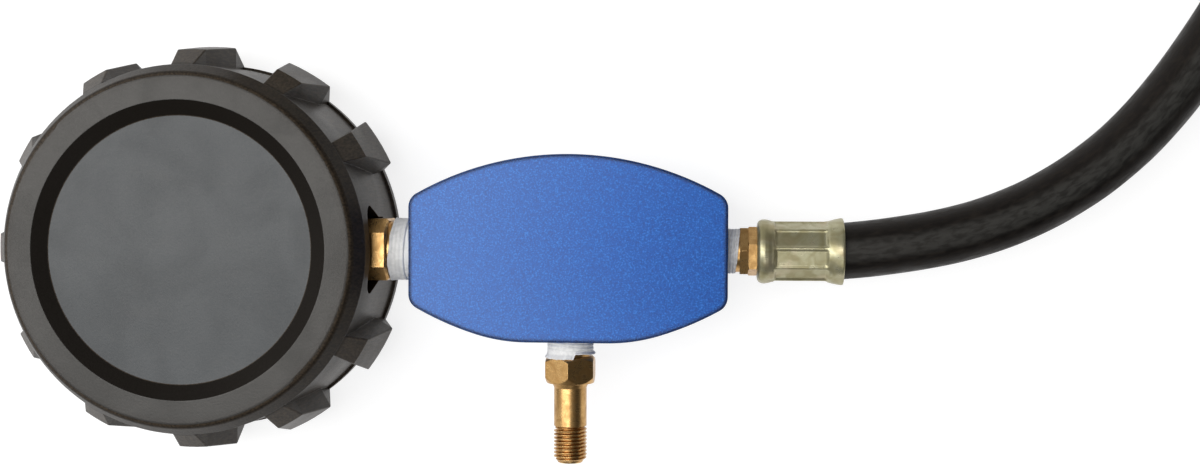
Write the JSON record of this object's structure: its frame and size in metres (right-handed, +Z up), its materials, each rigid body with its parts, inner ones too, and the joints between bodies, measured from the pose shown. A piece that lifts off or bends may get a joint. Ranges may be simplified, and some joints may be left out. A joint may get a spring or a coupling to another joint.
{
  "type": "cooling system pressure tester",
  "caption": "Hand-held cooling system pressure tester: dial gauge in a lugged rubber boot, drilled block with a tank valve, and a crimped rubber hose with a swivel nut.",
  "frame": {"origin": "centre of the footprint of the gauge, block and valve, at the surface they lie on", "axes": "+X along the gauge's stem towards the hose, +Y away from the tank valve, +Z up, out of the boot's back; the dial faces -Z"},
  "size_m": [0.3141, 0.271, 0.0352],
  "materials": {
    "boot_rubber": "matte moulded",
    "hose_rubber": "satin",
    "seal_rubber": "matte",
    "anodised_block": "satin anodised",
    "brass": "machined",
    "spring_bronze": "drawn",
    "plated_steel": "yellow zinc plate",
    "bright_steel": "polished",
    "black_steel": "satin black",
    "dial_white": "matte white",
    "pointer_black": "matte black",
    "lens_clear": "clear",
    "thread_tape": "soft white"
  },
  "bodies": {
    "tester": {"gauge_boot": "boot_rubber", "gauge_case": "black_steel", "bezel": "black_steel", "lens_gasket": "seal_rubber", "lens": "lens_clear", "dial_plate": "dial_white", "dial_screws": "bright_steel", "bourdon_tube": "spring_bronze", "tube_tip": "brass", "movement_front_plate": "brass", "movement_back_plate": "brass", "movement_pillars": "brass", "movement_screws": "bright_steel", "hairspring": "spring_bronze", "gauge_socket": "brass", "case_screws": "bright_steel", "gauge_port_tape": "thread_tape", "manifold_block": "anodised_block", "hose_port_tape": "thread_tape", "valve_port_tape": "thread_tape", "valve_stem": "brass", "core_body": "brass", "core_gasket": "seal_rubber", "core_spring": "bright_steel", "hose_nipple": "brass", "hose_insert": "brass", "hose_ferrule": "plated_steel", "hose_run": "hose_rubber", "hose_coil": "hose_rubber", "end_ferrule": "plated_steel", "end_insert": "brass"},
    "pointer": {"pointer": "pointer_black", "pinion_arbor": "bright_steel"},
    "sector": {"sector_gear": "brass"},
    "link": {"link": "brass"},
    "valve_pin": {"core_pin": "brass", "core_cup": "seal_rubber"},
    "hose_nut": {"swivel_nut": "brass"}
  },
  "joints": [
    {"name": "sector_swing", "type": "hinge", "parent": "tester", "child": "sector", "pos_m": [-0.06928, 0.00082, 0.0154], "axis": [0, 0, 1], "range_deg": [-33.75, 0], "stiffness_Nm_per_rad": 0.004, "deforming": ["hairspring", "bourdon_tube", "tube_tip"]},
    {"name": "pointer_turn", "type": "hinge", "parent": "tester", "child": "pointer", "pos_m": [-0.05128, 0.00082, 0.0082], "axis": [0, 0, 1], "range_deg": [0, 270]},
    {"name": "link_swing", "type": "hinge", "parent": "sector", "child": "link", "pos_m": [-0.07464, 0.00205, 0.0169], "axis": [0, 0, 1], "range_deg": [0, 33.75]},
    {"name": "valve_press", "type": "slide", "parent": "tester", "child": "valve_pin", "axis": [0, 1, 0], "range_m": [0, 0.0012], "stiffness_N_per_m": 400, "springref_m": -0.0005, "deforming": ["core_spring"]},
    {"name": "nut_swivel", "type": "hinge", "parent": "tester", "child": "hose_nut", "pos_m": [-0.04328, 0.07533, 0.0078], "axis": [1, 0, 0], "continuous": true}
  ],
  "couplings": [
    {"joint": "pointer_turn", "follows": "sector_swing", "ratio": -8},
    {"joint": "link_swing", "follows": "sector_swing", "ratio": -1}
  ]
}
